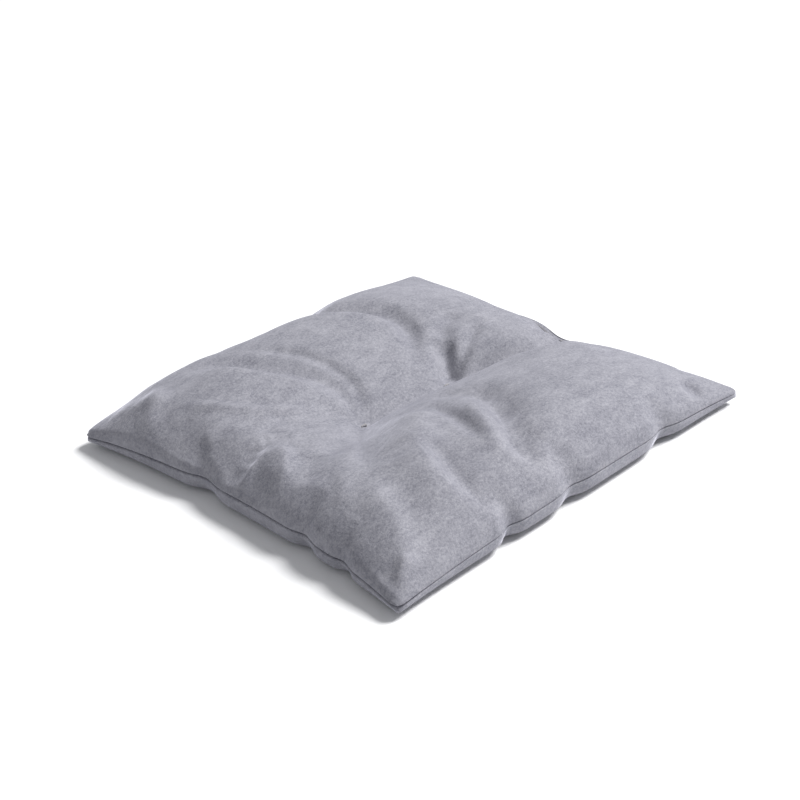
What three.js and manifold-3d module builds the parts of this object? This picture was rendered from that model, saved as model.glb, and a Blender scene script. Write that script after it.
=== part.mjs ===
// Square kneeling cushion: two velvet panels sewn together at a knife-edge seam, stuffed with
// loose fibre and drawn in at the middle by two thread ties. Millimetres, +Z up. The origin is on
// the floor, under the centre of the cushion. X runs along the line of the two ties.
import * as THREE from "three";
import { mergeVertices } from "three/addons/utils/BufferGeometryUtils.js";
import Module from "manifold-3d";

// Plan
const SIDE = 400; // corner tip to corner tip, along one side
const CORNER = 16; // how far the rounding of a corner reaches along each side
const PULL_IN = 10; // how far a side bows inwards at its middle
const SIDE_STEPS = 14;
const CORNER_STEPS = 3;

// Heights
const CROWN = 67; // height that the puffed top would reach without the dip of the ties
const SEAM_MIDDLE = 24; // seam above the floor at the middle of a side
const SEAM_CORNER = 12; // and at a corner
const EDGE_POWER = 4; // how late the top starts to fall towards the seam
const EDGE_ROUND = 0.5; // how round that fall is
const FLAT_SHARE = 0.74; // share of each radius that lies flat on the floor

// Fabric and seam
const FABRIC = 1.6; // velvet with its knitted backing
const GAP = 0.3; // clearance between neighbouring pieces
const LIP = 1.2; // half the height of the groove that the seam leaves between the panels
const GROOVE = 1.5; // depth of that groove
const ALLOWANCE = 10; // seam allowance, turned to the inside
const ROOT = 3.4; // where the inside of a panel meets its allowance, from the edge
const THREAD = 0.35; // radius of the sewing thread
const STITCH_LINE = 6; // the seam's stitches, from the edge

// Ties that draw the middle in
const TIE_SPACING = 98;
const TIE_WIDTH = 5; // distance between the two legs of one tie
const TIE_THREAD = 0.6; // radius
const TIE_HOLE = 1.0; // radius of the hole that a leg passes through
const TIE_BEND = 1.2; // radius of the bends from leg to bar
const TIE_STEPS = 48;
const TOP_DIP = { depth: 46, reach: 150 };
const UNDER_DIP = { depth: 10, reach: 72 };

// Fill and closing stitch
const FILL_INSET = 12;
const CLOSING_LENGTH = 120;

const RINGS = 12; // rings from the centre to the edge of a surface

const wasm = await Module();
wasm.setup();

const velvet = new THREE.MeshStandardMaterial({ color: 0x9a9aa6, roughness: 0.95, metalness: 0 });
const fibre = new THREE.MeshStandardMaterial({ color: 0xf2f2ee, roughness: 1, metalness: 0 });
const thread = new THREE.MeshStandardMaterial({ color: 0x8c8c98, roughness: 0.7, metalness: 0 });

// ---- Plan outline and height of the surfaces ----

// The edge of the cushion seen from above, anticlockwise: bowed sides joined by rounded corners.
function outlinePoints() {
  const half = SIDE / 2;
  const points = [];
  for (let side = 0; side < 4; side++) {
    const turn = (side * Math.PI) / 2;
    const at = (x, y) => new THREE.Vector2(x, y).rotateAround(new THREE.Vector2(), turn);
    const edge = new THREE.QuadraticBezierCurve(
      at(half, CORNER - half),
      at(half - 2 * PULL_IN, 0),
      at(half, half - CORNER),
    );
    const corner = new THREE.QuadraticBezierCurve(
      at(half, half - CORNER),
      at(half, half),
      at(half - CORNER, half),
    );
    points.push(...edge.getPoints(SIDE_STEPS).slice(0, -1));
    points.push(...corner.getPoints(CORNER_STEPS).slice(0, -1));
  }
  return points;
}

const OUTLINE = outlinePoints();

// A share of the way from the centre to an edge point, for a place that far in from the edge.
const shareAt = (edge, inset) => 1 - inset / edge.length();

function seamHeight(edge) {
  const corneriness = ((edge.x * edge.y) / (SIDE / 2) ** 2) ** 2;
  return SEAM_MIDDLE + (SEAM_CORNER - SEAM_MIDDLE) * corneriness;
}

// How far a place is from the straight line between the two ties.
function distanceToTies(x, y) {
  const beyond = Math.max(0, Math.abs(x) - TIE_SPACING / 2);
  return Math.hypot(beyond, y);
}

function dip(x, y, { depth, reach }) {
  const near = Math.max(0, 1 - distanceToTies(x, y) / reach);
  return depth * near * near;
}

function topHeight(edge, share) {
  const longest = Math.max(Math.abs(edge.x), Math.abs(edge.y));
  const u = (share * Math.abs(edge.x)) / longest;
  const v = (share * Math.abs(edge.y)) / longest;
  const puff = ((1 - u ** EDGE_POWER) * (1 - v ** EDGE_POWER)) ** EDGE_ROUND;
  const lip = seamHeight(edge) + LIP;
  return lip + (CROWN - lip) * puff - dip(share * edge.x, share * edge.y, TOP_DIP);
}

function underHeight(edge, share) {
  const past = Math.max(0, share - FLAT_SHARE) / (1 - FLAT_SHARE);
  const lip = seamHeight(edge) - LIP;
  const rise = lip * (1 - Math.sqrt(1 - past * past));
  return rise + dip(share * edge.x, share * edge.y, UNDER_DIP);
}

// ---- Solids ----

// A ring of points, one on each radius. share and height are functions of the edge point.
const ring = (share, height) =>
  OUTLINE.map((edge) => {
    const s = share(edge);
    return [s * edge.x, s * edge.y, height(edge, s)];
  });

// The rings that every surface shares, closer together near the edge. Height is straight between
// them, so that parallel surfaces have parallel facets.
const SHARES = Array.from({ length: RINGS + 1 }, (_, i) => Math.sin((i / RINGS) * (Math.PI / 2)));

const faceted = (height) => (edge, share) => {
  const i = Math.min(RINGS - 1, SHARES.findLastIndex((s) => s <= share));
  const along = (share - SHARES[i]) / (SHARES[i + 1] - SHARES[i]);
  return height(edge, SHARES[i]) * (1 - along) + height(edge, SHARES[i + 1]) * along;
};

// Rings on a surface from near the centre out to an inset from the edge.
function surfaceRings(inset, height) {
  const last = Math.min(...OUTLINE.map((edge) => shareAt(edge, inset)));
  const inner = SHARES.filter((share) => share > 0 && share < last - 1e-3);
  const rim = ring((edge) => shareAt(edge, inset), height);
  return [...inner.map((share) => ring(() => share, height)), rim];
}

// A closed surface through rings, from a pole at its top centre round to a pole at its bottom.
// Every four-sided facet is split from its inner corner k to its outer corner k + 1, whichever way
// the rings run, so that parallel surfaces stay parallel.
function closedSurface(firstPole, rings, lastPole) {
  const n = OUTLINE.length;
  const points = [firstPole, ...rings.flat(), lastPole];
  const faces = [];
  const radius = (i) => Math.hypot(points[i][0], points[i][1]);
  const at = (r, k) => 1 + r * n + (k % n);
  for (let k = 0; k < n; k++) {
    faces.push(0, at(0, k), at(0, k + 1));
    for (let r = 0; r < rings.length - 1; r++) {
      const [a, aNext, b, bNext] = [at(r, k), at(r, k + 1), at(r + 1, k), at(r + 1, k + 1)];
      if (radius(b) > radius(a)) faces.push(a, b, bNext, a, bNext, aNext);
      else faces.push(a, b, aNext, b, bNext, aNext);
    }
    faces.push(at(rings.length - 1, k), points.length - 1, at(rings.length - 1, k + 1));
  }
  const geometry = new THREE.BufferGeometry();
  geometry.setAttribute("position", new THREE.Float32BufferAttribute(points.flat(), 3));
  geometry.setIndex(faces);
  return geometry;
}

// The point of a surface at the centre of the cushion.
const pole = (height) => [0, 0, height(OUTLINE[0], 0)];

function toSolid(geometry) {
  const bare = geometry.clone();
  bare.deleteAttribute("normal");
  bare.deleteAttribute("uv");
  const merged = mergeVertices(bare, 1e-3);
  return new wasm.Manifold(
    new wasm.Mesh({
      numProp: 3,
      vertProperties: merged.attributes.position.array,
      triVerts: new Uint32Array(merged.index.array),
    }),
  );
}

function toGeometry(solid) {
  const mesh = solid.getMesh();
  const geometry = new THREE.BufferGeometry();
  geometry.setAttribute("position", new THREE.Float32BufferAttribute(mesh.vertProperties, 3));
  geometry.setIndex(Array.from(mesh.triVerts));
  geometry.computeVertexNormals();
  return geometry;
}

// Where the legs of the two ties pass through the cushion.
const legPlaces = [-1, 1].flatMap((end) =>
  [-1, 1].map((leg) => (end * TIE_SPACING + leg * TIE_WIDTH) / 2),
);

function withTieHoles(geometry) {
  let solid = toSolid(geometry);
  for (const x of legPlaces) {
    const drill = new THREE.CylinderGeometry(TIE_HOLE, TIE_HOLE, 3 * CROWN, 8);
    drill.rotateX(Math.PI / 2);
    drill.translate(x, 0, 0);
    solid = solid.subtract(toSolid(drill));
  }
  return toGeometry(solid);
}

function makeTopPanel() {
  const joint = (edge) => seamHeight(edge) + GAP / 2;
  const inside = (edge, share) => faceted(topHeight)(edge, share) - FABRIC;
  const rings = [
    ...surfaceRings(0, topHeight),
    ring((edge) => shareAt(edge, GROOVE), joint),
    ring((edge) => shareAt(edge, ALLOWANCE), joint),
    ring((edge) => shareAt(edge, ALLOWANCE), (edge) => joint(edge) + FABRIC),
    ring((edge) => shareAt(edge, ROOT), (edge) => joint(edge) + FABRIC),
    ...surfaceRings(ROOT + 0.5, inside).reverse(),
  ];
  return withTieHoles(closedSurface(pole(topHeight), rings, pole(inside)));
}

function makeBottomPanel() {
  const joint = (edge) => seamHeight(edge) - GAP / 2;
  const inside = (edge, share) => faceted(underHeight)(edge, share) + FABRIC;
  const rings = [
    ...surfaceRings(ROOT + 0.5, inside),
    ring((edge) => shareAt(edge, ROOT), (edge) => joint(edge) - FABRIC),
    ring((edge) => shareAt(edge, ALLOWANCE), (edge) => joint(edge) - FABRIC),
    ring((edge) => shareAt(edge, ALLOWANCE), joint),
    ring((edge) => shareAt(edge, GROOVE), joint),
    ...surfaceRings(0, underHeight).reverse(),
  ];
  return withTieHoles(closedSurface(pole(inside), rings, pole(underHeight)));
}

function makeFill() {
  const clear = FABRIC + GAP;
  const top = (edge, share) => faceted(topHeight)(edge, share) - clear;
  const under = (edge, share) => faceted(underHeight)(edge, share) + clear;
  const rings = [...surfaceRings(FILL_INSET, top), ...surfaceRings(FILL_INSET, under).reverse()];
  return withTieHoles(closedSurface(pole(top), rings, pole(under)));
}

// One of the two threads of the lockstitch: a loop that follows the seam on its side of it.
function makeSeamThread(direction) {
  const path = OUTLINE.map((edge) => {
    const s = shareAt(edge, STITCH_LINE);
    const lift = GAP / 2 + FABRIC + GAP + THREAD;
    return new THREE.Vector3(s * edge.x, s * edge.y, seamHeight(edge) + direction * lift);
  });
  const curve = new THREE.CatmullRomCurve3(path, true, "centripetal");
  return new THREE.TubeGeometry(curve, 2 * OUTLINE.length, THREAD, 5, true);
}

// The hand stitch that closes the filling gap: a thread along the groove of one side.
function makeClosingStitch() {
  const path = OUTLINE.filter((edge) => edge.y > SIDE / 4 && Math.abs(edge.x) < CLOSING_LENGTH / 2)
    .map((edge) => {
      const s = shareAt(edge, THREAD);
      return new THREE.Vector3(s * edge.x, s * edge.y, seamHeight(edge));
    });
  const section = new THREE.Shape().absarc(0, 0, THREAD, 0, 2 * Math.PI);
  return new THREE.ExtrudeGeometry(section, {
    steps: 40,
    curveSegments: 3,
    bevelEnabled: false,
    extrudePath: new THREE.CatmullRomCurve3(path),
  });
}

// A tie: a closed loop of thread with a short bar on each face of the cushion.
function makeTie(end) {
  const x = (end * TIE_SPACING) / 2;
  const half = TIE_WIDTH / 2;
  const edge = OUTLINE[0];
  const outermost = Math.abs(x) + half + TIE_HOLE;
  const level = (height) => height(new THREE.Vector2(edge.x, 0), outermost / edge.x);
  const top = level(topHeight) + GAP + TIE_THREAD;
  const under = level(underHeight) - GAP - TIE_THREAD;
  const loop = new THREE.Path();
  loop.absarc(x + half - TIE_BEND, top - TIE_BEND, TIE_BEND, 0, Math.PI / 2);
  loop.absarc(x - half + TIE_BEND, top - TIE_BEND, TIE_BEND, Math.PI / 2, Math.PI);
  loop.absarc(x - half + TIE_BEND, under + TIE_BEND, TIE_BEND, Math.PI, 1.5 * Math.PI);
  loop.absarc(x + half - TIE_BEND, under + TIE_BEND, TIE_BEND, 1.5 * Math.PI, 2 * Math.PI);
  loop.closePath();
  const spaced = loop.getSpacedPoints(TIE_STEPS).slice(0, -1);
  const path = spaced.map((point) => new THREE.Vector3(point.x, 0, point.y));
  const curve = new THREE.CatmullRomCurve3(path, true, "centripetal");
  return new THREE.TubeGeometry(curve, TIE_STEPS, TIE_THREAD, 8, true);
}

// ---- Assembly ----

const cushion = new THREE.Group();

function addPiece(name, geometry, material) {
  const mesh = new THREE.Mesh(geometry, material);
  mesh.name = name;
  cushion.add(mesh);
}

addPiece("cover_top", makeTopPanel(), velvet);
addPiece("cover_bottom", makeBottomPanel(), velvet);
addPiece("fibre_fill", makeFill(), fibre);
addPiece("seam_needle_thread", makeSeamThread(1), thread);
addPiece("seam_bobbin_thread", makeSeamThread(-1), thread);
addPiece("closing_stitch", makeClosingStitch(), thread);
addPiece("tuft_tie_left", makeTie(-1), thread);
addPiece("tuft_tie_right", makeTie(1), thread);

export default cushion;
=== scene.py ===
import math

import bpy
import numpy as np
from mathutils import Matrix, Vector


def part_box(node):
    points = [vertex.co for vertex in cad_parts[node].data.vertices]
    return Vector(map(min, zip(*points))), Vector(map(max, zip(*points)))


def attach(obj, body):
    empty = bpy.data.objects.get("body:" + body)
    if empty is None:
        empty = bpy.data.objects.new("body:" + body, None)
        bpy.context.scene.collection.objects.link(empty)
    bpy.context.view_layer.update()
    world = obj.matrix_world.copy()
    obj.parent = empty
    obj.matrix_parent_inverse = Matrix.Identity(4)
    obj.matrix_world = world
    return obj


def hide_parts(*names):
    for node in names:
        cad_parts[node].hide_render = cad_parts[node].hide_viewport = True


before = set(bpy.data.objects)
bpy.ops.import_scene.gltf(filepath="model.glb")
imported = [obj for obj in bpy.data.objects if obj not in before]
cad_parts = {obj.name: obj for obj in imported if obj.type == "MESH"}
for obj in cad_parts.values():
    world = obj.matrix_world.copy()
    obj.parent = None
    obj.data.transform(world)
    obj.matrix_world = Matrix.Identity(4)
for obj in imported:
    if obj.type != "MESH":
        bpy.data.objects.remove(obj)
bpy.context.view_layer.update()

MM = 0.001
BODY = "root"

# ---- Sizes from the frame ----

COVER_LOW, COVER_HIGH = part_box("cover_top")
UNDER_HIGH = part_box("cover_bottom")[1]
HALF = COVER_HIGH.x
CROWN = COVER_HIGH.z
TIE_BOXES = [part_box("tuft_tie_left"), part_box("tuft_tie_right")]
TIE_X = [(low.x + high.x) / 2 for low, high in TIE_BOXES]
TIE_THREAD = (TIE_BOXES[0][1].y - TIE_BOXES[0][0].y) / 2  # radius
TIE_LEGS = (TIE_BOXES[0][1].x - TIE_BOXES[0][0].x) / 2 - TIE_THREAD  # from a tie's middle to a leg
CLEARANCE = 0.3 * MM
TIE_TOP = TIE_BOXES[0][1].z - 2 * TIE_THREAD - CLEARANCE  # the top cover under a tie's bar
TIE_UNDER = TIE_BOXES[0][0].z + 2 * TIE_THREAD + CLEARANCE  # the bottom cover above the lower bar
CLOSING_LOW, CLOSING_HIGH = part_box("closing_stitch")

# ---- The cushion's own sizes ----

CORNER = 12 * MM  # radius of a corner
CELLS = 100  # cloth cells along a side
FABRIC = 1.5 * MM
SEAM_CORNER = 7.5 * MM  # height of the seam at a corner
ALLOWANCE = 10 * MM
STITCH_LINE = 6 * MM  # the lockstitch, from the edge
STITCH = 3 * MM
SEAM_THREAD = 0.3 * MM  # radius
PUFF = CROWN + 5 * MM  # height the crown would reach without the ties
CORNER_THIN = 0.42  # how much thinner the cushion is at its corners
LEFT_BACK_THIN = 0.24  # and at its fullest corner
CORNER_FLARE = 3 * MM  # how far the corners stick out
# A cover from its outside at the seam to its allowance: distance in from the edge and height over
# the seam, in mm, where the groove of the seam is narrow.
LIP_HIGH = 1.4 * MM
LIP = [(0.1, 0.95), (0.45, 0.55), (1.0, 0.28), (1.7, 0.15)]
SEAM_GAP = 0.15 * MM  # from the seam's plane to an allowance
LINING_START = 4 * MM  # how far in the inside of a cover starts
UNDER_FLAT = 0.87  # share of the way to the edge at which the bottom leaves the floor
UNDER_SQUARE = 2.4  # how square the bottom turns up towards the seam
UNDER_BULGE = 5.5 * MM  # how far the bottom stands out below the seam
TOP_BULGE = 2.0 * MM  # and the top above it
BULGE_FADE = 8  # how narrow the strip along the seam is in which they bulge
TIE_REACH = 200 * MM  # how far out a tie draws the top down
UNDER_REACH = 72 * MM  # and the bottom up

# The four sides: how far the middle is drawn in and the height of the seam there, in mm, and how
# late (power) and how roundly (root) the top falls towards the side.
SIDES = {
    "left": {"bow": 9, "seam": 18, "power": 4.2, "root": 0.5},
    "right": {"bow": 9, "seam": 16, "power": 2.5, "root": 0.95},
    "front": {"bow": -3, "seam": 17, "power": 3.4, "root": 0.5},
    "back": {"bow": 9, "seam": 18, "power": 2.8, "root": 0.5},
}
# Puckers, where the stitching draws a side in: (place along the side, depth, half width), in mm.
# Places run along +X on the sides "front" (-Y) and "back" (+Y), along +Y on "left" and "right".
PUCKERS = {
    "left": [(44, 4, 16), (-84, 3.5, 11), (-132, 2.5, 9)],
    "right": [(-25, 12, 30), (62, 2, 18), (-150, 1.5, 12)],
    "front": [(-80, 3.8, 9), (-10, 3.5, 12), (104, 4, 13)],
    "back": [(30, 3, 22), (-90, 2, 20)],
}

# Folds of the top cover: (name, route in plan, half width left of the route, half width right of
# it, height), in mm. A route is a smooth curve through its points, left and right are those of
# someone who walks along it, and a negative height is a valley. Each fold fades out at both ends.
FOLD_FADE = 0.3  # share of a route over which it fades, at each end
FOLD_END = 0.15  # share of the height that is left at the ends
# The broad ones are in the form that the cloth simulation starts from.
TOP_FOLDS = [
    ("valley to the right side", [(44, -4), (60, -8), (78, -12), (100, -18), (124, -26), (150, -29),
      (192, -25)], 12, 13, -13),
    ("far hollow", [(14, 172), (34, 158), (52, 141), (66, 121), (75, 98), (72, 74), (60, 53),
      (46, 33)], 14, 9, -10),
    ("front puff", [(-30, -46), (-50, -68), (-72, -96), (-90, -124)], 17, 28, 9),
    ("rise behind the left tie", [(-120, 150), (-97, 112), (-83, 84), (-68, 60), (-60, 40),
      (-61, 22)], 9, 40, 8),
    ("front valley right", [(20, -62), (10, -86), (-2, -114), (-14, -140)], 22, 10, -5),
    ("far left fullness", [(-172, 160), (-140, 178), (-84, 180), (-60, 178)], 18, 18, 5),
    ("fullness at the left corner", [(-186, 186), (-172, 162), (-160, 138), (-156, 116)], 12, 12, 5),
    ("far middle hollow", [(-60, 180), (-10, 184), (45, 178), (80, 182)], 18, 18, -9),
    ("left side fall", [(-198, 130), (-196, 90), (-196, 30), (-194, -30), (-196, -70)], 30, 30, -12),
    ("hollow of the left side", [(-166, 84), (-171, 50), (-168, 20), (-162, -2),
      (-166, -20)], 22, 18, -4),
    ("right side hollow", [(164, -100), (178, -60), (182, -10), (176, 50)], 15, 15, -9),
]
# The narrow ones are laid into the settled cloth.
CREASES = [
    ("arc behind the left tie", [(-106, 157), (-86, 131), (-70, 105), (-56, 83), (-45, 64),
      (-40, 46), (-40, 28), (-45, 12), (-53, 0)], 13, 6, -4.7),
    ("line beside the arc", [(-61, 148), (-33, 98), (-23, 57), (-27, 30), (-42, 4)], 6, 6, -3),
    ("ridge to the left tie", [(-157, 115), (-147, 92), (-134, 68), (-116, 48), (-94, 34),
      (-68, 20)], 6, 6, 2.5),
    ("ridge at the left corner", [(-138, 160), (-158, 146), (-176, 128), (-190, 114)], 10, 9, 3),
    ("first left ridge", [(-158, 68), (-168, 55), (-176, 45), (-184, 33), (-194, 20)], 9, 6, 4),
    ("second left ridge", [(-164, 2), (-173, -3), (-183, -7), (-194, -10)], 6, 8, 3),
    ("third left ridge", [(-140, 2), (-148, -14), (-156, -28), (-168, -38), (-182, -45)], 8, 20, 6.5),
    ("hollow beside it", [(-132, -34), (-144, -46), (-156, -56), (-170, -66)], 12, 12, -3.5),
    ("crease in front of the left tie", [(-44, -3), (-58, -9), (-88, -31), (-108, -41), (-125, -49),
      (-140, -55)], 9, 13, -4.5),
    ("valley beside the front puff", [(-62, -14), (-80, -34), (-98, -56), (-114, -76),
      (-128, -94)], 14, 7, -4),
    ("crease between the ties", [(-62, -8), (-49, -3), (-20, -5), (10, -6), (38, -5),
      (58, -4)], 6, 6, -4),
    ("front valley right", [(18, -74), (10, -96), (-4, -122), (-20, -146), (-31, -162), (-32, -176),
      (-24, -194)], 17, 7, -6),
    ("ridge beside it", [(-3, -70), (-13, -94), (-26, -119), (-40, -142), (-47, -163)], 9, 14, 4.5),
    ("front valley middle", [(-17, -46), (-22, -66), (-28, -88), (-36, -112), (-45, -138),
      (-52, -150)], 7, 7, -4),
    ("front valley left", [(-67, -96), (-73, -109), (-83, -134), (-91, -157), (-92, -176),
      (-86, -190), (-80, -199)], 8, 8, -3.5),
    ("step down to it", [(-84, -100), (-92, -116), (-101, -138), (-108, -160),
      (-108, -182)], 10, 26, 7),
    ("valley in front of the right tie", [(-3, -33), (9, -53), (17, -75), (22, -101)], 14, 9, -3.5),
    ("valley behind the right tie", [(48, -6), (56, 4), (66, 16), (76, 28), (90, 42)], 9, 9, -14),
    ("its far end", [(82, 38), (100, 52), (128, 62)], 9, 9, -4),
    ("second valley there", [(52, -8), (66, 2), (80, 9), (100, 20), (130, 34)], 7, 6, -4),
    ("crease to the right side", [(46, -6), (60, -10), (78, -14), (100, -20), (124, -28), (150, -31),
      (190, -27)], 6, 7, -3),
    ("edge of the front", [(-140, -104), (-147, -122), (-153, -141), (-160, -159), (-169, -175),
      (-177, -186), (-186, -194)], 12, 18, 5),
    ("dent at the near corner", [(-190, -174), (-195, -179), (-199, -184)], 6, 6, -3),
    ("ridge at the near corner", [(-170, -179), (-177, -186), (-184, -191), (-191, -195)], 9, 6, 5),
    ("dimple line", [(-138, -76), (-148, -88), (-160, -102), (-174, -114)], 9, 6, 2),
    ("valley at the right corner", [(164, -170), (161, -181), (158, -190), (155, -198)], 6, 8, -4),
]


# ---- Small tools ----

def smooth(t):
    t = np.clip(t, 0, 1)
    return t * t * (3 - 2 * t)


def catmull(points, steps):
    """Points along a smooth curve through the given ones."""
    p = np.asarray(points, float)
    ends = np.vstack([2 * p[0] - p[1], p, 2 * p[-1] - p[-2]])
    out = []
    for i in range(1, len(ends) - 2):
        a, b, c, d = ends[i - 1:i + 3]
        t = np.linspace(0, 1, steps, endpoint=False)[:, None]
        out.append(b + 0.5 * t * (c - a) + t**2 * (a - 2.5 * b + 2 * c - 0.5 * d)
                   + t**3 * (1.5 * b - 0.5 * a - 1.5 * c + 0.5 * d))
    return np.vstack(out + [p[-1:]])


def near_route(x, y, route):
    """Distance to a route, how far along it the nearest place is, from 0 to 1, and whether the
    place is left of the route."""
    fine = catmull(route, 10)
    best = np.full(x.shape, np.inf)
    along = np.zeros(x.shape)
    is_left = np.zeros(x.shape, bool)
    lengths = np.linalg.norm(np.diff(fine, axis=0), axis=1)
    starts = np.concatenate([[0], np.cumsum(lengths)])
    for i, length in enumerate(lengths):
        dx, dy = fine[i + 1] - fine[i]
        t = np.clip(((x - fine[i, 0]) * dx + (y - fine[i, 1]) * dy) / length**2, 0, 1)
        off_x, off_y = x - fine[i, 0] - t * dx, y - fine[i, 1] - t * dy
        d = np.hypot(off_x, off_y)
        closer = d < best
        is_left = np.where(closer, dx * off_y - dy * off_x > 0, is_left)
        best = np.where(closer, d, best)
        along = np.where(closer, (starts[i] + t * length) / starts[-1], along)
    return best, along, is_left


def fold_heights(x, y, folds):
    """The sum of the folds at places in plan. Lengths in and out are metres."""
    total = np.zeros(x.shape)
    for _, route, left_width, right_width, height in folds:
        d, along, is_left = near_route(x / MM, y / MM, route)
        width = np.where(is_left, left_width, right_width)
        fade = smooth(along / FOLD_FADE) * smooth((1 - along) / FOLD_FADE)
        total += height * MM * np.exp(-((d / width) ** 2)) * (FOLD_END + (1 - FOLD_END) * fade)
    return total


# ---- The cushion's crowned form ----

def rounded_square(u, v, half):
    """Maps the square -1..1 to a square of that half side with rounded corners."""
    a = np.clip((np.abs(u) * half - half + CORNER) / CORNER, 0, 1)
    b = np.clip((np.abs(v) * half - half + CORNER) / CORNER, 0, 1)
    x = np.minimum(np.abs(u) * half, half - CORNER) + CORNER * a * np.sqrt(1 - b * b / 2)
    y = np.minimum(np.abs(v) * half, half - CORNER) + CORNER * b * np.sqrt(1 - a * a / 2)
    return np.sign(u) * x, np.sign(v) * y


def drawn_in(side, place):
    """How far a side is drawn in at places along it."""
    bow = SIDES[side]["bow"] * MM * (1 - (place / HALF) ** 2)
    for middle, depth, width in PUCKERS[side]:
        bow = bow + depth * MM * np.exp(-(((place / MM) - middle) / width) ** 2)
    return bow


def fullness(side, place):
    """1 between the puckers of a side and less at them."""
    full = np.ones(np.shape(place))
    for middle, _, width in PUCKERS[side]:
        full = full - 1.3 * np.exp(-(((place / MM) - middle) / width) ** 2)
    return np.clip(full, -0.5, 1)


def per_side(u, v, key):
    """A value that belongs to each side, blended over the plan by how near that side is."""
    wide = 0.5 + 0.5 * np.tanh(3 * u)
    deep = 0.5 + 0.5 * np.tanh(3 * v)
    across = SIDES["left"][key] + (SIDES["right"][key] - SIDES["left"][key]) * wide
    along = SIDES["front"][key] + (SIDES["back"][key] - SIDES["front"][key]) * deep
    return across, along


def plan(u, v):
    """Places in plan for the square -1..1, with the sides drawn in and the corners flared."""
    x, y = rounded_square(u, v, HALF)
    x_share, y_share = np.clip(x / HALF, -1, 1), np.clip(y / HALF, -1, 1)
    weight = lambda share: np.clip(share, 0, 1) ** 5
    move_x = weight(-x_share) * drawn_in("left", y) - weight(x_share) * drawn_in("right", y)
    move_y = weight(-y_share) * drawn_in("front", x) - weight(y_share) * drawn_in("back", x)
    flare = CORNER_FLARE * np.abs(u * v) ** 8
    return x + move_x + np.sign(x) * flare, y + move_y + np.sign(y) * flare


def seam_height(u, v):
    """Height of the seam at each side, blended inwards, and lower at the corners."""
    across, along = per_side(u, v, "seam")
    share = smooth(0.5 + (np.abs(u) - np.abs(v)) * 2.5)
    middle = (along + (across - along) * share) * MM
    return middle + (SEAM_CORNER - middle) * (u * v) ** 2


def tie_distance(x, y):
    """Distance in plan to the line between the two ties."""
    beyond = np.maximum(0, np.maximum(x - TIE_X[1], TIE_X[0] - x))
    return np.hypot(beyond, y)


def outward(x, y, u, v, amount):
    """Moves of places near the edge away from it, by up to an amount between the puckers."""
    near_x, near_y = np.abs(u) ** BULGE_FADE, np.abs(v) ** BULGE_FADE
    full_x = np.where(u < 0, fullness("left", y), fullness("right", y))
    full_y = np.where(v < 0, fullness("front", x), fullness("back", x))
    return np.sign(u) * near_x * full_x * amount, np.sign(v) * near_y * full_y * amount


def crowned(u, v):
    """Top and bottom surface of the cushion, as two grids of places."""
    x, y = plan(u, v)
    seam = seam_height(u, v)
    (power_x, power_y), (root_x, root_y) = per_side(u, v, "power"), per_side(u, v, "root")
    puff = (1 - np.abs(u) ** power_x) ** root_x * (1 - np.abs(v) ** power_y) ** root_y
    thin = np.where((u < 0) & (v > 0), LEFT_BACK_THIN, CORNER_THIN)
    puff = puff * (1 - thin * np.abs(u * v) ** 1.5)
    near = np.clip(1 - tie_distance(x, y) / TIE_REACH, 0, 1) ** 2
    lip = seam + LIP_HIGH
    top = lip + (PUFF - lip) * puff - (PUFF - TIE_TOP) * near
    top += fold_heights(x, y, TOP_FOLDS) * smooth(puff * 1.6)
    reach = np.maximum(np.abs(u), np.abs(v))
    past = np.clip((reach - UNDER_FLAT) / (1 - UNDER_FLAT), 0, 1)
    near_under = np.clip(1 - tie_distance(x, y) / UNDER_REACH, 0, 1) ** 2
    rise = 1 - (1 - past**UNDER_SQUARE) ** (1 / UNDER_SQUARE)
    under = seam * rise + TIE_UNDER * near_under
    rim = (reach > 1 - 1e-9)
    top = np.where(rim, seam, top)
    under = np.where(rim, seam, under)
    stand = [outward(x, y, u, v, amount * past**2 * (1 - past**BULGE_FADE))
             for amount in (TOP_BULGE, UNDER_BULGE)]
    return (np.stack([x + stand[0][0], y + stand[0][1], top], -1),
            np.stack([x + stand[1][0], y + stand[1][1], under], -1))


GRID = np.linspace(-1, 1, CELLS + 1)
U, V = np.meshgrid(GRID, GRID, indexing="ij")


def rim_walk(n):
    """Indices round the edge of a grid with n cells, anticlockwise from the corner (-1, -1)."""
    walk = [(i, 0) for i in range(n)] + [(n, j) for j in range(n)]
    walk += [(i, n) for i in range(n, 0, -1)] + [(0, j) for j in range(n, 0, -1)]
    return tuple(np.array(walk).T)


# ---- Cloth ----

def make_mesh(name, points, faces):
    """A linked object with a mesh of these points and faces."""
    mesh = bpy.data.meshes.new(name)
    mesh.from_pydata(np.asarray(points, float).tolist(), [], [tuple(map(int, f)) for f in faces])
    mesh.validate()
    piece = bpy.data.objects.new(name, mesh)
    bpy.context.scene.collection.objects.link(piece)
    return piece


def grid_faces(index, flip=False):
    """Quads over a grid of vertex numbers."""
    a, b, c, d = index[:-1, :-1], index[1:, :-1], index[1:, 1:], index[:-1, 1:]
    quads = np.stack([a, b, c, d], -1).reshape(-1, 4)
    return quads[:, ::-1] if flip else quads


def band(first, second):
    """Quads between two closed loops of vertex numbers."""
    return np.stack([first, second, np.roll(second, -1), np.roll(first, -1)], -1)


def cloth_indices():
    """Vertex numbers of the two grids of the closed cloth, which share their rim."""
    n = CELLS + 1
    top = np.arange(n * n).reshape(n, n)
    under = np.full((n, n), -1)
    inner = (n - 2) ** 2
    under[1:-1, 1:-1] = n * n + np.arange(inner).reshape(n - 2, n - 2)
    edge = under < 0
    under[edge] = top[edge]
    return top, under


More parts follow.
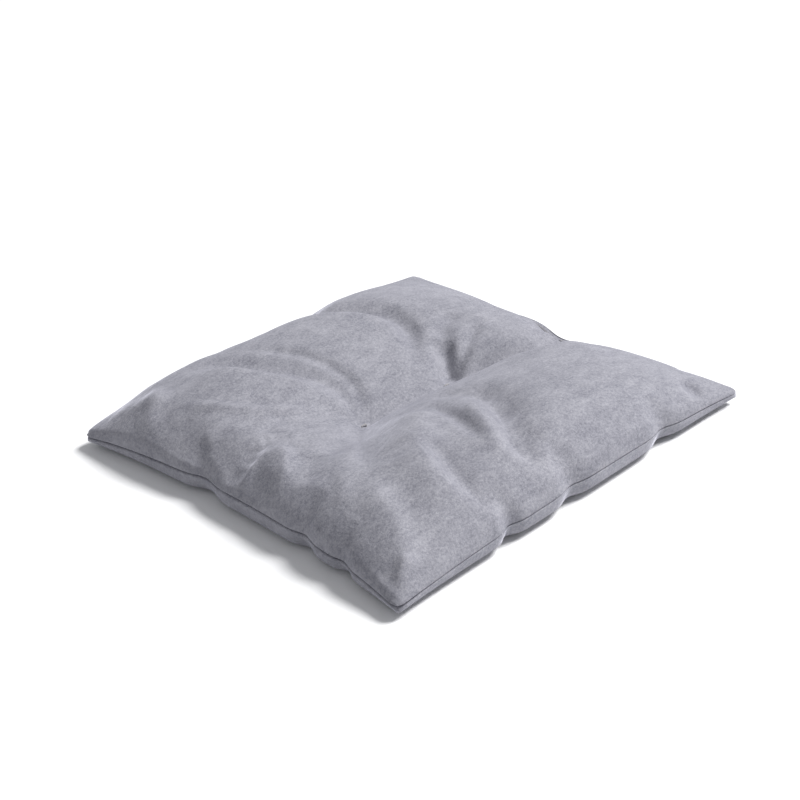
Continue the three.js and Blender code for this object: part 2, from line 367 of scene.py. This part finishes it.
SIM_FRAMES = 26
SIM_PRESSURE = 0.6
CUT_SLACK = 1.02  # the cloth is cut this much larger than the form it starts from
MOVE_CAP = 6 * MM
CREASE_MARGIN = 16 * MM  # the narrow folds reach their full height this far from the seam
LEAST_THICK = 8 * MM  # of the cushion, away from its seam
FLOOR_GAP = 3.2 * MM  # the simulation keeps the cloth this far above its floor
TIE_HOLD = 4.5 * MM  # radius in which a tie holds the cloth still


def settle(top, under):
    """Cloth simulation of the closed cushion. Returns the two grids after it."""
    top_index, under_index = cloth_indices()
    points = np.vstack([top.reshape(-1, 3), under[1:-1, 1:-1].reshape(-1, 3)])
    faces = np.vstack([grid_faces(top_index), grid_faces(under_index, flip=True)])
    cushion = make_mesh("settling_cloth", points, faces)
    cushion.shape_key_add(name="start")
    cut = cushion.shape_key_add(name="cut")
    centre = np.array([0, 0, CROWN / 3])
    cut_points = (points - centre) * CUT_SLACK + centre
    cut.data.foreach_set("co", cut_points.ravel())
    cut.value = 0

    pins = cushion.vertex_groups.new(name="pins")
    tie_ids = []
    for x in TIE_X:
        for index, grid in ((top_index, top), (under_index, under)):
            d = np.hypot(grid[..., 0] - x, grid[..., 1])
            tie_ids += [int(k) for k in index[d < TIE_HOLD]]
    pins.add(sorted(set(tie_ids)), 1.0, "REPLACE")

    corners = [(x, y, -FLOOR_GAP) for x, y in ((-1, -1), (1, -1), (1, 1), (-1, 1))]
    floor_mesh = make_mesh("settling_floor", corners, [(0, 1, 2, 3)])
    floor_mesh.modifiers.new("Collision", "COLLISION")
    floor_mesh.collision.thickness_outer = 1 * MM
    floor_mesh.collision.cloth_friction = 5

    modifier = cushion.modifiers.new("Cloth", "CLOTH")
    settings = modifier.settings
    settings.quality = 5
    settings.mass = 0.15
    settings.tension_stiffness = 25
    settings.compression_stiffness = 25
    settings.shear_stiffness = 12
    settings.bending_stiffness = 0.25
    settings.air_damping = 2
    settings.use_pressure = True
    settings.uniform_pressure_force = SIM_PRESSURE
    settings.vertex_group_mass = "pins"
    settings.rest_shape_key = cut
    settings.effector_weights.gravity = 0
    modifier.collision_settings.distance_min = 1 * MM
    modifier.collision_settings.use_self_collision = False
    modifier.point_cache.frame_end = SIM_FRAMES

    scene = bpy.context.scene
    for step in range(1, SIM_FRAMES + 1):
        scene.frame_set(step)
    evaluated = cushion.evaluated_get(bpy.context.evaluated_depsgraph_get())
    settled = np.zeros(len(points) * 3)
    evaluated.data.vertices.foreach_get("co", settled)
    settled = settled.reshape(-1, 3)
    scene.frame_set(1)
    for helper in (cushion, floor_mesh):
        bpy.data.objects.remove(helper)

    move = settled - points
    length = np.linalg.norm(move, axis=1, keepdims=True)
    settled = points + move * np.tanh(length / MOVE_CAP) * MOVE_CAP / np.maximum(length, 1e-9)
    settled[:, 2] = np.maximum(settled[:, 2], 0)
    return settled[top_index], settled[under_index]


def doubled(values):
    """A grid with a cubic in-between row after each of its rows but the last."""
    ends = np.concatenate([2 * values[:1] - values[1:2], values, 2 * values[-1:] - values[-2:-1]])
    between = (9 * (ends[1:-2] + ends[2:-1]) - ends[:-3] - ends[3:]) / 16
    out = np.empty((2 * len(values) - 1,) + values.shape[1:])
    out[::2] = values
    out[1::2] = between
    return out


def refined(grid):
    """The grid with twice the cells each way, kept above the floor."""
    fine = doubled(doubled(grid).swapaxes(0, 1)).swapaxes(0, 1)
    fine[..., 2] = np.maximum(fine[..., 2], 0)
    return fine


def creased(top, under):
    """The top grid with the narrow folds laid in, which fade out at the seam."""
    n = len(top) - 1
    steps = np.arange(n + 1)
    to_edge = np.minimum(steps, n - steps) * 2 * HALF / n
    inside = smooth(np.minimum(to_edge[:, None], to_edge[None, :]) / CREASE_MARGIN)
    out = top.copy()
    out[..., 2] += fold_heights(top[..., 0], top[..., 1], CREASES) * inside
    lowest = under[..., 2] + LEAST_THICK * np.minimum(1, inside * 2)
    out[..., 2] = np.where(inside > 0, np.maximum(out[..., 2], lowest), out[..., 2])
    return out


# ---- Pieces on the settled cloth ----

def grid_normals(grid):
    du = np.gradient(grid, axis=0)
    dv = np.gradient(grid, axis=1)
    normal = np.cross(du, dv)
    return normal / np.maximum(np.linalg.norm(normal, axis=-1, keepdims=True), 1e-12)


def rim_inward(rim):
    """Unit vectors in plan that point into the cushion at each rim point."""
    along = np.roll(rim, -1, 0) - np.roll(rim, 1, 0)
    inward = np.stack([-along[:, 1], along[:, 0], np.zeros(len(rim))], 1)
    return inward / np.linalg.norm(inward, axis=1, keepdims=True)


SIDE_START, SIDE_FULL = 0.8, 0.95  # shares of HALF between which a place comes to count as a side


def groove_width(rim):
    """How wide the groove of the seam is: it gapes on the left side, where the covers bulge most,
    and is tight on the far sides."""
    at_side = lambda distance: smooth((distance - SIDE_START * HALF) / ((SIDE_FULL - SIDE_START) * HALF))
    gape = at_side(-rim[:, 0])
    far = at_side(np.maximum(rim[:, 0], rim[:, 1]))
    return (0.85 + 0.75 * gape - 0.3 * far)[:, None]


def panel(name, grid, side):
    """One cover as a closed shell: its outside, the lip it makes at the seam, the allowance turned
    inside, and its inside. side is 1 for the top cover and -1 for the bottom one."""
    n = len(grid)
    walk = rim_walk(n - 1)
    rim = grid[walk]
    inward = rim_inward(rim)
    up = np.array([0, 0, float(side)])
    at = lambda far, high: rim + inward * far + up * high
    outside = grid.copy()
    wide = groove_width(rim)
    outside[walk] = at(0, LIP_HIGH * wide)
    rings = [at(far * MM * wide, high * MM * wide) for far, high in LIP]
    rings += [at(ALLOWANCE, SEAM_GAP), at(ALLOWANCE, SEAM_GAP + FABRIC),
              at(LINING_START + 0.6 * MM, SEAM_GAP + 0.1 * MM + FABRIC)]
    inside = grid - side * FABRIC * grid_normals(grid)
    inside[walk] = at(LINING_START, 0.5 * MM + FABRIC)
    index = np.arange(n * n).reshape(n, n)
    points = [outside.reshape(-1, 3)] + rings + [inside.reshape(-1, 3)]
    faces = [grid_faces(index, flip=side < 0)]
    previous = index[walk]
    offset = n * n
    loops = []
    for ring in rings:
        current = offset + np.arange(len(ring))
        loops.append((previous, current))
        previous = current
        offset += len(ring)
    inner_index = offset + index
    loops.append((previous, inner_index[walk]))
    for first, second in loops:
        quads = band(first, second)
        faces.append(quads if side > 0 else quads[:, ::-1])
    faces.append(grid_faces(inner_index, flip=side > 0))
    piece = make_mesh(name, np.vstack(points), np.vstack(faces))
    smooth_shaded(piece)
    return piece


def smooth_shaded(piece):
    """Gives every face smooth shading."""
    piece.data.polygons.foreach_set("use_smooth", [True] * len(piece.data.polygons))


FILL_MARGIN = 8  # grid rows between the seam and the fibre
BODY_MIN = 2 * MM  # the fibre is at least this thick


def filling(top, under):
    """The fibre, just inside both covers, out to the seam allowances."""
    clear = FABRIC + 2 * CLEARANCE
    upper = top - clear * grid_normals(top)
    lower = under + clear * grid_normals(under)
    keep = slice(FILL_MARGIN, len(top) - FILL_MARGIN)
    upper, lower = upper[keep, keep], lower[keep, keep]
    lower[..., 2] = np.minimum(lower[..., 2], upper[..., 2] - BODY_MIN)
    n = len(upper)
    upper_index = np.arange(n * n).reshape(n, n)
    lower_index = n * n + upper_index
    faces = np.vstack([grid_faces(upper_index), grid_faces(lower_index, flip=True),
                       band(upper_index[rim_walk(n - 1)], lower_index[rim_walk(n - 1)])])
    piece = make_mesh("filling", np.vstack([upper.reshape(-1, 3), lower.reshape(-1, 3)]), faces)
    smooth_shaded(piece)
    return piece


def tube(name, points, radius, closed):
    """A mesh tube along points."""
    curve = bpy.data.curves.new(name, "CURVE")
    curve.dimensions = "3D"
    curve.bevel_depth = radius
    curve.bevel_resolution = 2
    curve.use_fill_caps = True
    spline = curve.splines.new("POLY")
    spline.points.add(len(points) - 1)
    flat = np.hstack([points, np.ones((len(points), 1))])
    spline.points.foreach_set("co", flat.ravel())
    spline.use_cyclic_u = closed
    holder = bpy.data.objects.new(name + "_curve", curve)
    bpy.context.scene.collection.objects.link(holder)
    depsgraph = bpy.context.evaluated_depsgraph_get()
    mesh = bpy.data.meshes.new_from_object(holder.evaluated_get(depsgraph))
    mesh.name = name
    bpy.data.objects.remove(holder)
    piece = bpy.data.objects.new(name, mesh)
    bpy.context.scene.collection.objects.link(piece)
    smooth_shaded(piece)
    return piece


def along_rim(rim, spacing):
    """Evenly spaced points round the rim."""
    ring = np.vstack([rim, rim[:1]])
    lengths = np.concatenate([[0], np.cumsum(np.linalg.norm(np.diff(ring, axis=0), axis=1))])
    count = int(round(lengths[-1] / spacing))
    at = np.linspace(0, lengths[-1], count, endpoint=False)
    return np.stack([np.interp(at, lengths, ring[:, k]) for k in range(3)], 1)


def seam_thread(name, rim, side):
    """One thread of the lockstitch: a stitch lies on its side of the allowances, then dips."""
    per_stitch = 6
    path = along_rim(rim, STITCH / per_stitch)
    path = path[:len(path) // per_stitch * per_stitch]
    line = path + rim_inward(path) * STITCH_LINE
    lift = SEAM_GAP + FABRIC + CLEARANCE + SEAM_THREAD
    phase = np.arange(len(line)) % per_stitch
    dip = np.where(phase == 0, 0.25 * MM, 0)
    line[:, 2] += side * (lift + 0.1 * MM - dip)
    return tube(name, line, SEAM_THREAD, closed=True)


def closing_thread(rim):
    """The ladder stitch over the filling gap: it crosses from lip to lip in the groove."""
    path = along_rim(rim, 1.0 * MM)
    on_side = (path[:, 1] > SIDE_START * HALF) & (path[:, 0] > CLOSING_LOW.x) & (path[:, 0] < CLOSING_HIGH.x)
    path = path[on_side]
    inward = rim_inward(np.vstack([path, path[::-1] + [0, 1e-3, 0]]))[:len(path)]
    inward[0], inward[-1] = inward[1], inward[-2]
    swing = np.where((np.arange(len(path)) // 2) % 2 == 0, 1, -1) * 0.5 * MM
    line = path + inward * 0.4 * MM
    line[:, 2] += swing
    return tube("closing_thread", line, SEAM_THREAD, closed=False)


def tie(name, x, top, under):
    """A closed loop of thread with a bar pressed into each cover."""
    def level(grid, px):
        d = np.hypot(grid[..., 0] - px, grid[..., 1])
        return grid[np.unravel_index(np.argmin(d), d.shape)][2]

    lift = TIE_THREAD + CLEARANCE
    high = max(level(top, x + s * TIE_LEGS) for s in (-1, 0, 1)) + lift
    low = min(level(under, x + s * TIE_LEGS) for s in (-1, 0, 1)) - lift
    bend = 1.2 * MM
    corners = [(TIE_LEGS - bend, high - bend, 0), (bend - TIE_LEGS, high - bend, 90),
               (bend - TIE_LEGS, low + bend, 180), (TIE_LEGS - bend, low + bend, 270)]
    points = []
    for cx, cz, start in corners:
        for k in range(7):
            a = math.radians(start + 15 * k)
            points.append((x + cx + bend * math.cos(a), 0, cz + bend * math.sin(a)))
    return tube(name, np.array(points), TIE_THREAD, closed=True)


# ---- Materials ----

def new_material(name):
    """A material, its nodes, its links and its shader."""
    material = bpy.data.materials.new(name)
    material.use_nodes = True
    nodes = material.node_tree.nodes
    return material, nodes, material.node_tree.links, nodes["Principled BSDF"]


def node(nodes, kind, **values):
    """A new node. Each value goes to its input of that name or, failing that, its property."""
    made = nodes.new(kind)
    for key, value in values.items():
        if key in made.inputs:
            made.inputs[key].default_value = value
        else:
            setattr(made, key, value)
    return made


def summed(nodes, links, parts):
    """The weighted sum of texture outputs."""
    total = None
    for output, weight in parts:
        scaled = node(nodes, "ShaderNodeMath", operation="MULTIPLY_ADD")
        scaled.inputs[1].default_value = weight
        links.new(output, scaled.inputs[0])
        if total is None:
            scaled.inputs[2].default_value = 0.0
        else:
            links.new(total, scaled.inputs[2])
        total = scaled.outputs[0]
    return total


def velvet():
    """Short-pile grey velvet: brushed patches, a fine speckle of pile and a soft sheen."""
    material, nodes, links, shader = new_material("grey_velvet")
    place = node(nodes, "ShaderNodeTexCoord").outputs["Object"]

    patches = node(nodes, "ShaderNodeTexNoise", Scale=24.0, Detail=3.0, Roughness=0.5, Distortion=0.8)
    brushed = node(nodes, "ShaderNodeTexNoise", Scale=95.0, Detail=4.0, Roughness=0.55, Distortion=0.5)
    tufts = node(nodes, "ShaderNodeTexNoise", Scale=420.0, Detail=2.0, Roughness=0.6)
    pile = node(nodes, "ShaderNodeTexNoise", Scale=1100.0, Detail=2.0, Roughness=0.7)
    stretch = node(nodes, "ShaderNodeMapping")
    stretch.inputs["Scale"].default_value = (0.55, 1.0, 1.0)
    stretch.inputs["Rotation"].default_value = (0.0, 0.0, math.radians(40))
    links.new(place, stretch.inputs["Vector"])
    for texture in (patches, tufts, pile):
        links.new(place, texture.inputs["Vector"])
    links.new(stretch.outputs["Vector"], brushed.inputs["Vector"])

    total = summed(nodes, links, [(patches.outputs["Fac"], 0.14), (brushed.outputs["Fac"], 0.22),
                                  (tufts.outputs["Fac"], 0.30), (pile.outputs["Fac"], 0.34)])
    ramp = node(nodes, "ShaderNodeValToRGB")
    ramp.color_ramp.elements[0].position = 0.36
    ramp.color_ramp.elements[0].color = (0.155, 0.156, 0.185, 1)
    ramp.color_ramp.elements[1].position = 0.64
    ramp.color_ramp.elements[1].color = (0.37, 0.367, 0.402, 1)
    links.new(total, ramp.inputs["Fac"])
    links.new(ramp.outputs["Color"], shader.inputs["Base Color"])

    shader.inputs["Roughness"].default_value = 0.95
    shader.inputs["Specular IOR Level"].default_value = 0.15
    shader.inputs["Sheen Weight"].default_value = 0.62
    shader.inputs["Sheen Roughness"].default_value = 0.36
    shader.inputs["Sheen Tint"].default_value = (0.82, 0.82, 0.92, 1)

    bump = node(nodes, "ShaderNodeBump", Strength=0.5, Distance=0.0008)
    links.new(summed(nodes, links, [(tufts.outputs["Fac"], 0.6), (pile.outputs["Fac"], 0.4)]),
              bump.inputs["Height"])
    nap = node(nodes, "ShaderNodeBump", Strength=0.5, Distance=0.002)
    links.new(brushed.outputs["Fac"], nap.inputs["Height"])
    links.new(bump.outputs["Normal"], nap.inputs["Normal"])
    links.new(nap.outputs["Normal"], shader.inputs["Normal"])
    return material


def spun_thread():
    """Grey polyester thread with the twist of its plies."""
    material, nodes, links, shader = new_material("grey_thread")
    place = node(nodes, "ShaderNodeTexCoord").outputs["Object"]
    ply = node(nodes, "ShaderNodeTexWave", Scale=900.0, Distortion=1.5)
    links.new(place, ply.inputs["Vector"])
    ramp = node(nodes, "ShaderNodeValToRGB")
    ramp.color_ramp.elements[0].color = (0.30, 0.29, 0.30, 1)
    ramp.color_ramp.elements[1].color = (0.46, 0.44, 0.44, 1)
    links.new(ply.outputs["Fac"], ramp.inputs["Fac"])
    links.new(ramp.outputs["Color"], shader.inputs["Base Color"])
    bump = node(nodes, "ShaderNodeBump", Strength=0.6, Distance=0.0002)
    links.new(ply.outputs["Fac"], bump.inputs["Height"])
    links.new(bump.outputs["Normal"], shader.inputs["Normal"])
    shader.inputs["Roughness"].default_value = 0.6
    shader.inputs["Sheen Weight"].default_value = 0.3
    return material


def fibre():
    """Loose white polyester fibre."""
    material, nodes, links, shader = new_material("white_fibre")
    place = node(nodes, "ShaderNodeTexCoord").outputs["Object"]
    tufts = node(nodes, "ShaderNodeTexNoise", Scale=120.0, Detail=6.0, Roughness=0.7, Distortion=1.5)
    links.new(place, tufts.inputs["Vector"])
    ramp = node(nodes, "ShaderNodeValToRGB")
    ramp.color_ramp.elements[0].color = (0.78, 0.78, 0.75, 1)
    ramp.color_ramp.elements[1].color = (0.92, 0.92, 0.9, 1)
    links.new(tufts.outputs["Fac"], ramp.inputs["Fac"])
    links.new(ramp.outputs["Color"], shader.inputs["Base Color"])
    bump = node(nodes, "ShaderNodeBump", Strength=0.8, Distance=0.003)
    links.new(tufts.outputs["Fac"], bump.inputs["Height"])
    links.new(bump.outputs["Normal"], shader.inputs["Normal"])
    shader.inputs["Roughness"].default_value = 1.0
    shader.inputs["Sheen Weight"].default_value = 0.4
    return material


def floor_material():
    """A plain pale floor."""
    material, nodes, links, shader = new_material("pale_floor")
    place = node(nodes, "ShaderNodeTexCoord").outputs["Object"]
    mottle = node(nodes, "ShaderNodeTexNoise", Scale=3.0, Detail=2.0)
    links.new(place, mottle.inputs["Vector"])
    ramp = node(nodes, "ShaderNodeValToRGB")
    ramp.color_ramp.elements[0].color = (0.9, 0.9, 0.9, 1)
    ramp.color_ramp.elements[1].color = (0.92, 0.92, 0.92, 1)
    links.new(mottle.outputs["Fac"], ramp.inputs["Fac"])
    links.new(ramp.outputs["Color"], shader.inputs["Base Color"])
    shader.inputs["Roughness"].default_value = 0.9
    shader.inputs["Specular IOR Level"].default_value = 0.1
    return material


# ---- Camera, floor and light ----

CAMERA_AZIMUTH = -40.5  # degrees
CAMERA_ELEVATION = 28.7
CAMERA_ROLL = -6.1
CAMERA_DISTANCE = 1.423
CAMERA_LENS = 73.9
CAMERA_TARGET = Vector((0.0028, 0.0105, 0.020))
FLOOR_HALF = 6.0
KEY_PLACE = (3.3, -1.8, 4.3)
KEY_SIZE = 2.2
KEY_POWER = 455
SKY_COLOUR = (0.95, 0.96, 1.0, 1)
SKY_STRENGTH = 0.40


def add_camera():
    """A camera that looks at the target from its azimuth and elevation, tilted by its roll."""
    a, e, roll = (math.radians(v) for v in (CAMERA_AZIMUTH, CAMERA_ELEVATION, CAMERA_ROLL))
    back = Vector((math.sin(a) * math.cos(e), -math.cos(a) * math.cos(e), math.sin(e)))
    right = Vector((0, 0, 1)).cross(back).normalized()
    up = back.cross(right)
    right_rolled = right * math.cos(roll) + up * math.sin(roll)
    up_rolled = up * math.cos(roll) - right * math.sin(roll)
    data = bpy.data.cameras.new("camera")
    data.lens = CAMERA_LENS
    data.sensor_width = 36
    data.clip_start = 0.01
    camera = bpy.data.objects.new("camera", data)
    camera.matrix_world = Matrix((
        (right_rolled.x, up_rolled.x, back.x, CAMERA_TARGET.x + back.x * CAMERA_DISTANCE),
        (right_rolled.y, up_rolled.y, back.y, CAMERA_TARGET.y + back.y * CAMERA_DISTANCE),
        (right_rolled.z, up_rolled.z, back.z, CAMERA_TARGET.z + back.z * CAMERA_DISTANCE),
        (0, 0, 0, 1),
    ))
    bpy.context.scene.collection.objects.link(camera)
    bpy.context.scene.camera = camera


def area_light(name, place, size, power):
    """A round light that faces the origin."""
    data = bpy.data.lights.new(name, "AREA")
    data.shape = "DISK"
    data.size = size
    data.energy = power
    light = bpy.data.objects.new(name, data)
    light.location = place
    light.rotation_euler = (-Vector(place)).to_track_quat("-Z", "Y").to_euler()
    bpy.context.scene.collection.objects.link(light)


def add_studio():
    """A floor, one soft light from the right and an even sky."""
    square = [(-1, -1), (1, -1), (1, 1), (-1, 1)]
    floor = make_mesh("floor", [(x * FLOOR_HALF, y * FLOOR_HALF, 0) for x, y in square], [(0, 1, 2, 3)])
    floor.data.materials.append(floor_material())
    area_light("key", KEY_PLACE, KEY_SIZE, KEY_POWER)
    world = bpy.data.worlds.new("studio")
    world.use_nodes = True
    background = world.node_tree.nodes["Background"]
    background.inputs["Color"].default_value = SKY_COLOUR
    background.inputs["Strength"].default_value = SKY_STRENGTH
    bpy.context.scene.world = world
    bpy.context.scene.view_settings.view_transform = "Standard"


# ---- Put together ----

add_camera()
add_studio()

top_grid, under_grid = crowned(U, V)
top_grid, under_grid = settle(top_grid, under_grid)
top_grid, under_grid = refined(top_grid), refined(under_grid)
top_grid = creased(top_grid, under_grid)
rim_line = top_grid[rim_walk(2 * CELLS)]

velvet_material, thread_material, fibre_material = velvet(), spun_thread(), fibre()


def hand_over(piece, material, node_replaced):
    """Gives a piece its material and its place in the frame."""
    piece.data.materials.clear()
    piece.data.materials.append(material)
    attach(piece, BODY)
    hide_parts(node_replaced)


top_cover = panel("top_cover", top_grid, 1)
bottom_cover = panel("bottom_cover", under_grid, -1)
fibre_body = filling(top_grid, under_grid)
hand_over(top_cover, velvet_material, "cover_top")
hand_over(bottom_cover, velvet_material, "cover_bottom")
hand_over(fibre_body, fibre_material, "fibre_fill")
hand_over(seam_thread("needle_thread", rim_line, 1), thread_material, "seam_needle_thread")
hand_over(seam_thread("bobbin_thread", rim_line, -1), thread_material, "seam_bobbin_thread")
hand_over(closing_thread(rim_line), thread_material, "closing_stitch")
for name, x in zip(("left", "right"), TIE_X):
    loop = tie("tie_" + name, x, top_grid, under_grid)
    hand_over(loop, thread_material, "tuft_tie_" + name)
